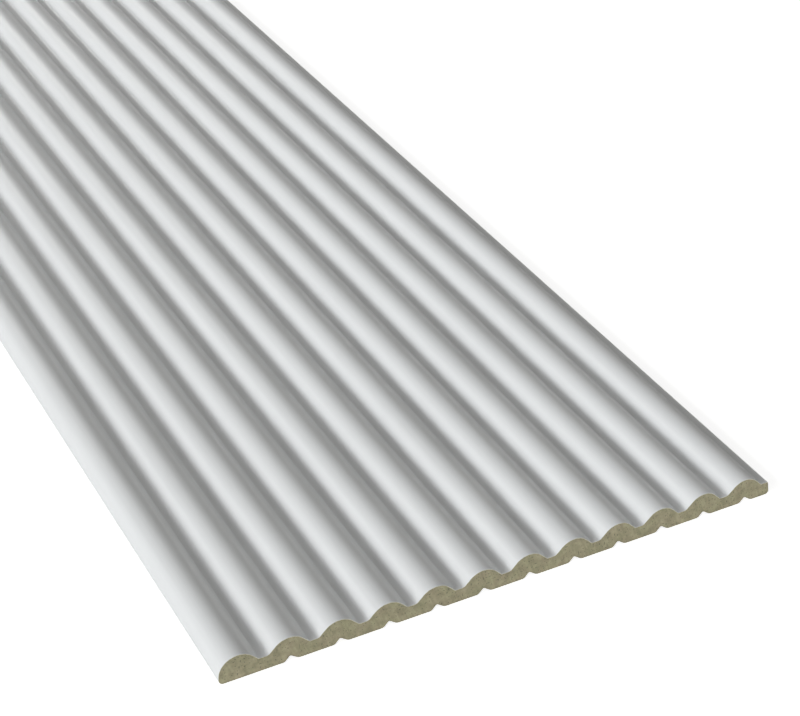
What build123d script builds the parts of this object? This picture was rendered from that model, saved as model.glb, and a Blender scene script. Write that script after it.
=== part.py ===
from build123d import *
import os
from math import cos, radians, tan

# Fluted wall panel: one extruded length of dense polystyrene, painted white on its face.
# The face is a row of ribs with a round crest and straight sloping flanks, and narrow flat valleys
# between them. The back is flat, with a shallow glue groove under every rib but the first. The left
# edge is the first rib's own round, carried on down until it is upright. The right edge is the last
# valley, cut off as a low ledge, and the left edge of the next panel butts against it, so that the
# ribs run on across the joint.
# Sizes are in millimetres. X runs across the ribs, Y along them, and Z out of the wall.
# The origin is the middle of the back.

# Overall sizes
panel_length = 2000.0
panel_width = 250.0
floor_thickness = 6.3  # from the back to the floor of a valley

# Ribs and valleys
rib_height = 5.2  # above the valley floor
rib_radius = 8.0  # of the round crest
flank_slope = 45.0  # of the straight flanks, in degrees from the valley floor
least_valley = 3.0  # the narrowest valley that is made
left_foot_radius = 2.0  # hollow at the left foot of a rib
right_foot_radius = 0.8  # hollow at the right foot, which is nearly a crease

# Glue grooves, with a steep flank on the left and a gentle one on the right
groove_shift = 0.3  # from a rib's middle to the deepest line of its groove
groove_depth = 2.6  # to the sharp corner that the round root replaces
groove_steep_run = 2.3  # width of the steep flank
groove_gentle_run = 3.5  # width of the gentle flank
groove_root_radius = 0.7
steep_mouth_radius = 1.5
gentle_mouth_radius = 3.0

# Long edges
heel_radius = 2.0  # under the left edge
ledge_toe_radius = 1.5  # under the right edge
ledge_straight = 0.3  # upright stretch of the right edge, above the toe
ledge_lean = 0.8  # how far the right edge leans in above that stretch
ledge_lip_radius = 0.6  # at the top of the right edge

# Worked out from the sizes above
crest_height = floor_thickness + rib_height
crest_centre_height = crest_height - rib_radius
ridge_height = rib_height + rib_radius * (1 / cos(radians(flank_slope)) - 1)  # before it is rounded
rib_width = 2 * ridge_height / tan(radians(flank_slope))  # at the valley floor
rib_count = int(panel_width / (rib_width + least_valley))
rib_pitch = panel_width / rib_count
left_edge = -panel_width / 2
right_edge = panel_width / 2
rib_centres = [left_edge + rib_radius + rib * rib_pitch for rib in range(rib_count)]
groove_reach = rib_pitch / 2  # half the width of the open space under a groove
nearly = 1e-4  # corners nearer to a height than this are at it


def corner_at(shape, x, height):
    """The corner of a flat shape that is nearest to a place."""
    return shape.vertices().sort_by_distance((x, height))[0]


def corners_near(section, places):
    """The corners of a section that are nearest to some places."""
    return [corner_at(section, place.X, place.Y) for place in places]


def corners_at(section, height):
    """The corners of a section at one height, from left to right."""
    level = section.vertices().filter_by_position(Axis.Y, height - nearly, height + nearly)
    return level.sort_by(Axis.X)


def rib(centre):
    """One rib above the valley floor: a ridge with straight flanks, rounded at its crest."""
    ridge_top = floor_thickness + ridge_height
    ridge = make_face(
        Polyline(
            (centre - rib_width / 2, floor_thickness),
            (centre, ridge_top),
            (centre + rib_width / 2, floor_thickness),
            close=True,
        )
    )
    return fillet(corner_at(ridge, centre, ridge_top), rib_radius)


def inside_left_round():
    """All that lies within the first rib's round, which ends upright at the left edge."""
    corner = (Align.MIN, Align.MIN)
    first_centre = rib_centres[0]
    first_round = Pos(first_centre, crest_centre_height) * Circle(rib_radius)
    below_round = Pos(left_edge, 0) * Rectangle(panel_width, crest_centre_height, align=corner)
    beside_round = Pos(first_centre, 0) * Rectangle(panel_width, crest_height, align=corner)
    return first_round + below_round + beside_round


def floor_strip():
    """The flat body under the ribs, as far as the leaning right edge."""
    return make_face(
        Polyline(
            (left_edge, 0),
            (right_edge, 0),
            (right_edge, ledge_toe_radius + ledge_straight),
            (right_edge - ledge_lean, floor_thickness),
            (left_edge, floor_thickness),
            close=True,
        )
    )


def glue_groove(centre):
    """The groove in the back under one rib, with the open space below it, which shapes its mouth."""
    deepest = centre + groove_shift
    steep_mouth = deepest - groove_steep_run
    gentle_mouth = deepest + groove_gentle_run
    groove = make_face(
        Polyline(
            (deepest - groove_reach, -groove_depth),
            (deepest - groove_reach, 0),
            (steep_mouth, 0),
            (deepest, groove_depth),
            (gentle_mouth, 0),
            (deepest + groove_reach, 0),
            (deepest + groove_reach, -groove_depth),
            close=True,
        )
    )
    groove = fillet(corner_at(groove, deepest, groove_depth), groove_root_radius)
    groove = fillet(corner_at(groove, steep_mouth, 0), steep_mouth_radius)
    return fillet(corner_at(groove, gentle_mouth, 0), gentle_mouth_radius)


def panel_section():
    """The cross-section, seen from the front end with the face up."""
    section = floor_strip() + [rib(centre) for centre in rib_centres]
    section &= inside_left_round()
    section -= [glue_groove(centre) for centre in rib_centres[1:]]

    feet = corners_at(section, floor_thickness)[:-1]
    right_feet = feet[0::2]
    left_feet = feet[1::2]
    section = fillet(left_feet, left_foot_radius)
    section = fillet(corners_near(section, right_feet), right_foot_radius)
    section = fillet(corner_at(section, right_edge - ledge_lean, floor_thickness), ledge_lip_radius)
    heel = min(heel_radius, crest_centre_height - nearly)  # no higher than the upright stretch
    section = fillet(corner_at(section, left_edge, 0), heel)
    return fillet(corner_at(section, right_edge, 0), ledge_toe_radius)


def wall_panel():
    """The section run along the whole length, half of it each way from the origin."""
    return extrude(Plane.XZ * panel_section(), panel_length / 2, both=True)


os.makedirs("parts", exist_ok=True)
export_step(wall_panel(), "parts/wall_panel.step")
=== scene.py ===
import math

import bmesh
import bpy
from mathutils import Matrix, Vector, noise


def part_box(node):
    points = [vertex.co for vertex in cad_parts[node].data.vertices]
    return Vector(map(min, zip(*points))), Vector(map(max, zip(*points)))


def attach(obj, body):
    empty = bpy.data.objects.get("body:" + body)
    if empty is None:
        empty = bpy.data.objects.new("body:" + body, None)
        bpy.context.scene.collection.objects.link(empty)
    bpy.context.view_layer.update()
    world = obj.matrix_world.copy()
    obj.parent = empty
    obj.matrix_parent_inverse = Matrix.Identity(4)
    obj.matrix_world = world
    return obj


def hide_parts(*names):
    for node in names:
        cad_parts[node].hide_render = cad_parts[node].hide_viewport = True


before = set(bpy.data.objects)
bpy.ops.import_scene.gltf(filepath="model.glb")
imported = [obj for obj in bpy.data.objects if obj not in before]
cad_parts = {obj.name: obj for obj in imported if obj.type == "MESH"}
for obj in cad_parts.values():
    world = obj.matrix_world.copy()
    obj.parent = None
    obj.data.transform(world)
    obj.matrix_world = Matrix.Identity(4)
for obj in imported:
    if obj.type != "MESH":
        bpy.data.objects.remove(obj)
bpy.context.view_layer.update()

# A fluted wall panel of dense polystyrene, lying on its back. Its face and its round left edge are
# sprayed white. Its sawn ends, its back and its right edge are bare. Sizes are in metres.

panel_low, panel_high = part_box("wall_panel")
millimetre = 0.001

# Ends and long edges of the panel
near_end = panel_low.y
far_end = panel_high.y
left_edge = panel_low.x
right_edge = panel_high.x

# Section, as in the CAD model
floor_height = 6.3 * millimetre  # of a valley above the back
rib_height = 5.2 * millimetre
rib_radius = 8.0 * millimetre
flank_slope = math.radians(45)
rib_count = 12
left_foot_radius = 2.0 * millimetre
right_foot_radius = 0.8 * millimetre
groove_shift = 0.3 * millimetre
groove_depth = 2.6 * millimetre
groove_steep_run = 2.3 * millimetre
groove_gentle_run = 3.5 * millimetre
groove_root_radius = 0.7 * millimetre
steep_mouth_radius = 1.5 * millimetre
gentle_mouth_radius = 3.0 * millimetre
heel_radius = 2.0 * millimetre
ledge_toe_radius = 1.5 * millimetre
ledge_straight = 0.3 * millimetre
ledge_lean = 0.8 * millimetre
ledge_lip_radius = 0.6 * millimetre

# Worked out from the section
crest_centre_height = floor_height + rib_height - rib_radius
ridge_height = rib_height + rib_radius * (1 / math.cos(flank_slope) - 1)
rib_half_width = ridge_height / math.tan(flank_slope)
rib_pitch = (right_edge - left_edge) / rib_count
rib_centres = [left_edge + rib_radius + rib * rib_pitch for rib in range(rib_count)]
groove_lines = [centre + groove_shift for centre in rib_centres[1:]]
crest_reach = rib_radius * math.sin(flank_slope)  # from a rib's middle to the end of its round crest
shoulder_height = crest_centre_height + rib_radius * math.cos(flank_slope)
ledge_lip = right_edge - ledge_lean

# Finish
coat_thickness = 0.2 * millimetre
skin_thickness = 0.6 * millimetre  # the denser foam under the coat and at the back
spray_end = heel_radius / 3  # how low the coat reaches on the round left edge
coat_finish, bare_finish, sawn_finish, cut_finish = range(4)  # places in the list of materials
end_relief = 0.05 * millimetre  # mean depth of a sawn end, and how far it varies
coarse_waves = 120  # of that relief, to the metre
fine_waves = 500
saw_slant = math.radians(-20)  # of the saw's marks on an end, from upright
saw_stretch = 10  # how much longer than wide those marks are
rib_stretch = (1, 0.02, 1)  # draws a pattern out along the ribs
# A nick in the coat: a dent in the bump relief, with painted shade darkening the colour in it
nick_place = (37.2 * millimetre, near_end + 51 * millimetre, 7.4 * millimetre)
nick_size = 0.8 * millimetre
nick_depth = 0.3 * millimetre

# How finely shapes are divided
crest_steps = 32
corner_segments = 5
length_cuts = 39
core_cell = 1.0 * millimetre  # of the relief on a sawn end
sharp_edge = math.radians(30)  # edges that turn more than this stay sharp
tiny = 1e-6

# Colours, each as the darkest and the lightest of its pattern
coat_white = ((0.86, 0.872, 0.878), (0.88, 0.892, 0.898))
cut_cream = ((0.42, 0.4, 0.3), (0.78, 0.76, 0.66))
foam_olive = ((0.225, 0.218, 0.138), (0.36, 0.345, 0.225))
foam_warm = ((0.245, 0.22, 0.15), (0.385, 0.35, 0.24))
back_olive = ((0.22, 0.2, 0.135), (0.27, 0.25, 0.17))
black_to_white = ((0, 0, 0), (1, 1, 1))


# The camera, where the photograph was taken from
camera_place = (-0.3096, -1.4928, 0.4949)
camera_tilt = math.radians(33.778)  # down from level
camera_heading = math.radians(27.802)  # to the right of the ribs
camera_roll = math.radians(0.169)
camera_lens = 86.40
camera_sensor = 36
camera_reach = 100  # in metres


def place_camera():
    """Puts the camera before the near end, to the left of the panel and above it."""
    camera = bpy.data.objects.new("camera", bpy.data.cameras.new("camera"))
    camera.location = camera_place
    camera.rotation_euler = (math.pi / 2 - camera_tilt, 0, -camera_heading)
    camera.rotation_euler.rotate_axis("Z", camera_roll)
    camera.data.sensor_width = camera_sensor
    camera.data.lens = camera_lens
    camera.data.clip_end = camera_reach
    bpy.context.collection.objects.link(camera)
    bpy.context.scene.camera = camera


# The section, drawn in the plane of the near end
def line_to(bm, corner, x, z):
    """Draws a straight run of the section from a corner, and gives the corner at its far end."""
    corner = bmesh.ops.extrude_vert_indiv(bm, verts=[corner])["verts"][0]
    corner.co = (x, near_end, z)
    return corner


def arc_about(bm, corner, x, z, angle, steps):
    """Draws an arc of the section about a centre, clockwise, and gives the corner at its end."""
    swept = bmesh.ops.spin(
        bm, geom=[corner], cent=(x, near_end, z), axis=(0, 1, 0), angle=angle, steps=steps
    )
    return next(item for item in swept["geom_last"] if isinstance(item, bmesh.types.BMVert))


def draw_face_side(bm):
    """Draws the painted side, from the left edge over all the ribs to the lip of the ledge."""
    corner = bm.verts.new((left_edge, near_end, 0))
    corner = line_to(bm, corner, left_edge, crest_centre_height)
    for centre in rib_centres:
        crest = (centre, crest_centre_height)
        if centre == rib_centres[0]:
            corner = arc_about(bm, corner, *crest, math.pi / 2 + flank_slope, crest_steps)
        else:
            corner = line_to(bm, corner, centre - rib_half_width, floor_height)
            corner = line_to(bm, corner, centre - crest_reach, shoulder_height)
            corner = arc_about(bm, corner, *crest, 2 * flank_slope, crest_steps)
        corner = line_to(bm, corner, centre + rib_half_width, floor_height)
    return line_to(bm, corner, ledge_lip, floor_height)


def draw_back(bm, corner):
    """Draws the right edge and the grooved back, as far as the first corner of the section."""
    corner = line_to(bm, corner, right_edge, ledge_toe_radius + ledge_straight)
    corner = line_to(bm, corner, right_edge, 0)
    for deepest in reversed(groove_lines):
        corner = line_to(bm, corner, deepest + groove_gentle_run, 0)
        corner = line_to(bm, corner, deepest, groove_depth)
        corner = line_to(bm, corner, deepest - groove_steep_run, 0)
    line_to(bm, corner, left_edge, 0)


def turn_at(corner):
    """How far the outline turns at a corner, as an angle."""
    before, after = (edge.other_vert(corner).co - corner.co for edge in corner.link_edges)
    return math.pi - before.angle(after)


def round_corner(bm, x, z, radius):
    """Rounds the corner of the flat section that is at a place."""
    corner = min(bm.verts, key=lambda vert: math.hypot(vert.co.x - x, vert.co.z - z))
    reach = radius * math.tan(turn_at(corner) / 2)
    bmesh.ops.bevel(
        bm, geom=[corner], offset=reach, segments=corner_segments, profile=0.5,
        affect="VERTICES", material=-1,
    )


def draw_section(bm):
    """Draws the whole section as one flat face, with its corners rounded."""
    draw_back(bm, draw_face_side(bm))
    bmesh.ops.remove_doubles(bm, verts=bm.verts, dist=tiny)
    bmesh.ops.contextual_create(bm, geom=bm.edges[:])
    for deepest in groove_lines:
        round_corner(bm, deepest, groove_depth, groove_root_radius)
        round_corner(bm, deepest - groove_steep_run, 0, steep_mouth_radius)
        round_corner(bm, deepest + groove_gentle_run, 0, gentle_mouth_radius)
    for centre in rib_centres:
        round_corner(bm, centre + rib_half_width, floor_height, right_foot_radius)
    for centre in rib_centres[1:]:
        round_corner(bm, centre - rib_half_width, floor_height, left_foot_radius)
    round_corner(bm, ledge_lip, floor_height, ledge_lip_radius)
    round_corner(bm, left_edge, 0, heel_radius)
    round_corner(bm, right_edge, 0, ledge_toe_radius)


# The panel
def is_painted(place):
    """Whether a place on the outside of the panel was reached by the spray."""
    on_face = place.z > floor_height - ledge_lip_radius / 2
    on_left_edge = place.x < left_edge + heel_radius and place.z > spray_end
    return on_face or on_left_edge


def run_along(bm):
    """Runs the flat section along the whole panel, and divides it along its length."""
    run = bmesh.ops.extrude_face_region(bm, geom=bm.faces[:])
    moved = [item for item in run["geom"] if isinstance(item, bmesh.types.BMVert)]
    bmesh.ops.translate(bm, verts=moved, vec=(0, far_end - near_end, 0))
    bmesh.ops.recalc_face_normals(bm, faces=bm.faces[:])
    lengthwise = [edge for edge in bm.edges if abs(edge.verts[0].co.y - edge.verts[1].co.y) > tiny]
    bmesh.ops.subdivide_edges(bm, edges=lengthwise, cuts=length_cuts)


def paint_outside(bm):
    """Gives each outside face its finish: the coat where the spray reached, and foam elsewhere."""
    for face in bm.faces:
        face.smooth = True
        face.material_index = coat_finish if is_painted(face.calc_center_median()) else bare_finish


def is_cap(face, end):
    """Whether a face is the flat one that closes an end."""
    return all(abs(vert.co.y - end) < tiny for vert in face.verts)


def dress_end(bm, end, skin):
    """Cuts the coat and the dense skin into one sawn end, and roughens it."""
    cap = next(face for face in bm.faces if is_cap(face, end))
    coat = bmesh.ops.inset_region(
        bm, faces=[cap], thickness=coat_thickness, use_even_offset=True, use_boundary=True
    )["faces"]
    for vert in cap.verts:
        vert[skin] = 1
    for face in coat:
        face.material_index = cut_finish if is_painted(face.calc_center_median()) else sawn_finish
    dense = bmesh.ops.inset_region(
        bm, faces=[cap], thickness=skin_thickness, use_even_offset=True, use_boundary=True
    )["faces"]
    for face in dense:
        face.material_index = sawn_finish
    cap.material_index = sawn_finish
    for vert in cap.verts:
        vert[skin] = 0
    core = bmesh.ops.triangulate(bm, faces=[cap])["faces"]
    core = grid_cut(bm, core)
    inner = {vert for face in core for vert in face.verts}
    inward = 1 if end == near_end else -1
    for vert in inner:
        waves = (noise.noise(vert.co * coarse_waves) + noise.noise(vert.co * fine_waves)) / 2
        vert.co.y += inward * end_relief * (1 + waves)


def grid_cut(bm, faces):
    """Cuts faces of an end along a grid of upright and level lines."""
    geom = set(faces)
    for face in faces:
        geom.update(face.edges)
        geom.update(face.verts)
    geom = list(geom)
    columns = int((right_edge - left_edge) / core_cell)
    rows = int((floor_height + rib_height) / core_cell)
    planes = [((left_edge + column * core_cell, 0, 0), (1, 0, 0)) for column in range(1, columns)]
    planes += [((0, 0, row * core_cell), (0, 0, 1)) for row in range(1, rows)]
    for place, direction in planes:
        geom = bmesh.ops.bisect_plane(
            bm, geom=geom, dist=tiny, plane_co=place, plane_no=direction
        )["geom"]
    return [item for item in geom if isinstance(item, bmesh.types.BMFace)]


def make_panel():
    """Makes the panel, which takes the place of the plain one."""
    bm = bmesh.new()
    skin = bm.verts.layers.float.new("skin")
    draw_section(bm)
    run_along(bm)
    for vert in bm.verts:
        vert[skin] = 1
    paint_outside(bm)
    dress_end(bm, near_end, skin)
    dress_end(bm, far_end, skin)
    for edge in bm.edges:
        if len(edge.link_faces) == 2 and edge.calc_face_angle() > sharp_edge:
            edge.smooth = False
    mesh = bpy.data.meshes.new("fluted_panel")
    bm.to_mesh(mesh)
    bm.free()
    panel = bpy.data.objects.new("fluted_panel", mesh)
    bpy.context.collection.objects.link(panel)
    for material in (white_coat(), bare_back(), sawn_foam(), cut_coat()):  # in the order of the finishes
        mesh.materials.append(material)
    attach(panel, "root")
    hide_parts("wall_panel")


# Materials
def new_material(name):
    """A new material, with its nodes, its links and its shader."""
    material = bpy.data.materials.new(name)
    material.use_nodes = True
    nodes = material.node_tree.nodes
    return material, nodes, material.node_tree.links, nodes["Principled BSDF"]


def object_place(nodes, links, stretch=(1, 1, 1)):
    """A place on the piece, with the pattern stretched by scale along each axis."""
    place = nodes.new("ShaderNodeTexCoord")
    mapping = nodes.new("ShaderNodeMapping")
    mapping.inputs["Scale"].default_value = stretch
    links.new(place.outputs["Object"], mapping.inputs["Vector"])
    return mapping.outputs["Vector"]


def grain(nodes, links, place, scale, detail=3.0, roughness=0.5):
    """A noise over the piece, so many waves to the metre."""
    pattern = nodes.new("ShaderNodeTexNoise")
    pattern.inputs["Scale"].default_value = scale
    pattern.inputs["Detail"].default_value = detail
    pattern.inputs["Roughness"].default_value = roughness
    links.new(place, pattern.inputs["Vector"])
    return pattern.outputs["Fac"]


def blend(nodes, links, amount, low, high):
    """A colour ramp between two colours, over the middle of a noise's range."""
    ramp = nodes.new("ShaderNodeValToRGB")
    ramp.color_ramp.elements[0].position = 0.3
    ramp.color_ramp.elements[1].position = 0.7
    ramp.color_ramp.elements[0].color = (*low, 1)
    ramp.color_ramp.elements[1].color = (*high, 1)
    links.new(amount, ramp.inputs["Fac"])
    return ramp.outputs["Color"]


def raise_relief(nodes, links, shader, heights):
    """Adds bumps to a shader, each a height pattern and the depth of its relief in metres."""
    under = None
    for height, depth in heights:
        bump = nodes.new("ShaderNodeBump")
        bump.inputs["Strength"].default_value = 1
        bump.inputs["Distance"].default_value = depth
        links.new(height, bump.inputs["Height"])
        if under:
            links.new(under, bump.inputs["Normal"])
        under = bump.outputs["Normal"]
    links.new(under, shader.inputs["Normal"])


def shade(nodes, links, colour, amount, first, last, start=0.3, end=0.7):
    """Scales a colour by one factor where a pattern is at its start, and by another at its end."""
    factor = nodes.new("ShaderNodeMapRange")
    factor.inputs["From Min"].default_value = start
    factor.inputs["From Max"].default_value = end
    factor.inputs["To Min"].default_value = first
    factor.inputs["To Max"].default_value = last
    links.new(amount, factor.inputs["Value"])
    scaled = nodes.new("ShaderNodeVectorMath")
    scaled.operation = "SCALE"
    links.new(colour, scaled.inputs[0])
    links.new(factor.outputs["Result"], scaled.inputs["Scale"])
    return scaled.outputs["Vector"]


def distance_from(nodes, links, place, spot):
    """How far a place on the piece is from one spot, in metres."""
    far = nodes.new("ShaderNodeVectorMath")
    far.operation = "DISTANCE"
    far.inputs[1].default_value = spot
    links.new(place, far.inputs[0])
    return far.outputs["Value"]


def saw_lean(nodes, links):
    """A place on the piece, with the pattern drawn out along the way that the saw went."""
    place = nodes.new("ShaderNodeTexCoord")
    mapping = nodes.new("ShaderNodeMapping")
    mapping.vector_type = "TEXTURE"
    mapping.inputs["Rotation"].default_value = (0, saw_slant, 0)
    mapping.inputs["Scale"].default_value = (1, 1, saw_stretch)
    links.new(place.outputs["Object"], mapping.inputs["Vector"])
    return mapping.outputs["Vector"]


def white_coat():
    """Sprayed white primer, satin, with a fine orange peel, faint streaks along the ribs and a nick
    darkened with painted shade.
    """
    material, nodes, links, shader = new_material("white_coat")
    place = object_place(nodes, links)
    along = object_place(nodes, links, rib_stretch)
    cloud = grain(nodes, links, place, 14)
    streaks = grain(nodes, links, along, 600, 2)
    colour = blend(nodes, links, cloud, *coat_white)
    colour = shade(nodes, links, colour, streaks, 0.985, 1.01)
    nick = distance_from(nodes, links, place, nick_place)
    # Painted shade: the coat's colour darkens towards the middle of the nick's dent
    colour = shade(nodes, links, colour, nick, 0.6, 1, nick_size / 3, nick_size)
    links.new(colour, shader.inputs["Base Color"])
    shader.inputs["Roughness"].default_value = 0.4
    shader.inputs["Specular IOR Level"].default_value = 0.75
    peel = grain(nodes, links, place, 900, 2)
    raise_relief(nodes, links, shader, [(peel, 0.00002), (streaks, 0.00001), (nick, nick_depth)])
    return material


def sawn_foam():
    """The sawn end: dense olive foam, mottled, with specks, pores and the slanting marks of the saw."""
    material, nodes, links, shader = new_material("sawn_foam")
    place = object_place(nodes, links)
    mottle = grain(nodes, links, place, 260, 4, 0.6)
    patches = grain(nodes, links, place, 160, 1)
    saw_marks = grain(nodes, links, saw_lean(nodes, links), 1000, 2)
    specks = grain(nodes, links, place, 1300, 0)
    skin = nodes.new("ShaderNodeAttribute")
    skin.attribute_name = "skin"

    olive = blend(nodes, links, mottle, *foam_olive)
    warm = blend(nodes, links, mottle, *foam_warm)
    mixed = nodes.new("ShaderNodeMix")
    mixed.data_type = "RGBA"
    links.new(blend(nodes, links, patches, *black_to_white), mixed.inputs["Factor"])
    links.new(olive, mixed.inputs["A"])
    links.new(warm, mixed.inputs["B"])
    colour = shade(nodes, links, mixed.outputs["Result"], saw_marks, 0.9, 1.1)
    colour = shade(nodes, links, colour, specks, 1, 0.5, 0.69, 0.73)
    colour = shade(nodes, links, colour, skin.outputs["Fac"], 1, 0.9, 0, 1)
    links.new(colour, shader.inputs["Base Color"])
    shader.inputs["Roughness"].default_value = 0.9
    cells = grain(nodes, links, place, 2500, 2)
    raise_relief(nodes, links, shader, [(cells, 0.0001), (saw_marks, 0.00008)])
    return material


def cut_coat():
    """The coat where the saw went through it: rough and cream."""
    material, nodes, links, shader = new_material("cut_coat")
    place = object_place(nodes, links)
    chips = grain(nodes, links, place, 700, 2)
    links.new(blend(nodes, links, chips, *cut_cream), shader.inputs["Base Color"])
    shader.inputs["Roughness"].default_value = 0.8
    raise_relief(nodes, links, shader, [(chips, 0.0001)])
    return material


def bare_back():
    """The bare back and right edge: the smoother skin of the foam, with faint lines along it."""
    material, nodes, links, shader = new_material("bare_back")
    place = object_place(nodes, links)
    along = object_place(nodes, links, rib_stretch)
    lines = grain(nodes, links, along, 500, 3)
    cloud = grain(nodes, links, place, 90)
    colour = blend(nodes, links, lines, *back_olive)
    colour = shade(nodes, links, colour, cloud, 0.93, 1.05)
    links.new(colour, shader.inputs["Base Color"])
    shader.inputs["Roughness"].default_value = 0.75
    raise_relief(nodes, links, shader, [(lines, 0.00003)])
    return material


# Floor, background and light
floor_gap = 0.2 * millimetre  # under the back
floor_glow = 0.82  # what the camera sees of the floor beside the light that falls on it
floor_reach = 15  # in metres, from its middle to each side
floor_colour = (0.8, 0.8, 0.8, 1)
white = (1, 1, 1, 1)
sky_strength = 0.02
lamp_spread = math.radians(20)  # how wide each lamp looks from the panel


def lay_floor():
    """A wide pale floor. The camera sees it white, and darker where the panel shades it."""
    bm = bmesh.new()
    bmesh.ops.create_grid(bm, x_segments=1, y_segments=1, size=floor_reach)
    bmesh.ops.translate(bm, verts=bm.verts, vec=(0, 0, -floor_gap))
    mesh = bpy.data.meshes.new("floor")
    bm.to_mesh(mesh)
    bm.free()
    floor = bpy.data.objects.new("floor", mesh)
    bpy.context.collection.objects.link(floor)
    material, nodes, links, shader = new_material("floor")
    shader.inputs["Base Color"].default_value = floor_colour
    shader.inputs["Roughness"].default_value = 1
    shader.inputs["Specular IOR Level"].default_value = 0
    shader.inputs["Emission Color"].default_value = white
    rays = nodes.new("ShaderNodeLightPath")
    glow = nodes.new("ShaderNodeMath")
    glow.operation = "MULTIPLY"
    glow.inputs[1].default_value = floor_glow
    links.new(rays.outputs["Is Camera Ray"], glow.inputs[0])
    links.new(glow.outputs[0], shader.inputs["Emission Strength"])
    mesh.materials.append(material)


def hang_lamp(name, heading, height, strength, colour):
    """A far, soft lamp, with its heading and its height above the floor in degrees.

    Heading 0 is on the panel's left and 90 is beyond its near end.
    """
    lamp = bpy.data.lights.new(name, "SUN")
    lamp.energy = strength
    lamp.angle = lamp_spread
    lamp.color = colour
    turn = math.radians(heading)
    rise = math.radians(height)
    level = math.cos(rise)
    towards = Vector((-level * math.cos(turn), -level * math.sin(turn), math.sin(rise)))
    holder = bpy.data.objects.new(name, lamp)
    holder.rotation_euler = towards.to_track_quat("Z", "Y").to_euler()
    bpy.context.collection.objects.link(holder)


def light_studio():
    """The lamps, a faint light from all round, and white where the camera or a gloss sees past it."""
    hang_lamp("window", 0, 25, 1.74, (0.97, 0.99, 1.0))
    hang_lamp("corner", 30, 17, 0.66, (0.99, 0.99, 0.99))
    hang_lamp("front", 70, 10, 0.76, (1.0, 0.99, 0.95))
    hang_lamp("right", 110, 10, 1.1, (1.0, 0.99, 0.92))
    hang_lamp("back", -90, 20, 0.35, (1.0, 1.0, 0.95))

    world = bpy.data.worlds.new("studio")
    bpy.context.scene.world = world
    world.use_nodes = True
    nodes = world.node_tree.nodes
    links = world.node_tree.links
    seen = nodes["Background"]
    seen.inputs["Color"].default_value = white
    seen.inputs["Strength"].default_value = 1
    sky = nodes.new("ShaderNodeBackground")
    sky.inputs["Color"].default_value = white
    sky.inputs["Strength"].default_value = sky_strength
    rays = nodes.new("ShaderNodeLightPath")
    either = nodes.new("ShaderNodeMath")
    either.operation = "MAXIMUM"
    links.new(rays.outputs["Is Camera Ray"], either.inputs[0])
    links.new(rays.outputs["Is Glossy Ray"], either.inputs[1])
    mix = nodes.new("ShaderNodeMixShader")
    links.new(either.outputs[0], mix.inputs["Fac"])
    links.new(sky.outputs[0], mix.inputs[1])
    links.new(seen.outputs[0], mix.inputs[2])
    links.new(mix.outputs[0], nodes["World Output"].inputs["Surface"])


place_camera()
make_panel()
lay_floor()
light_studio()
bpy.context.scene.view_settings.view_transform = "Standard"
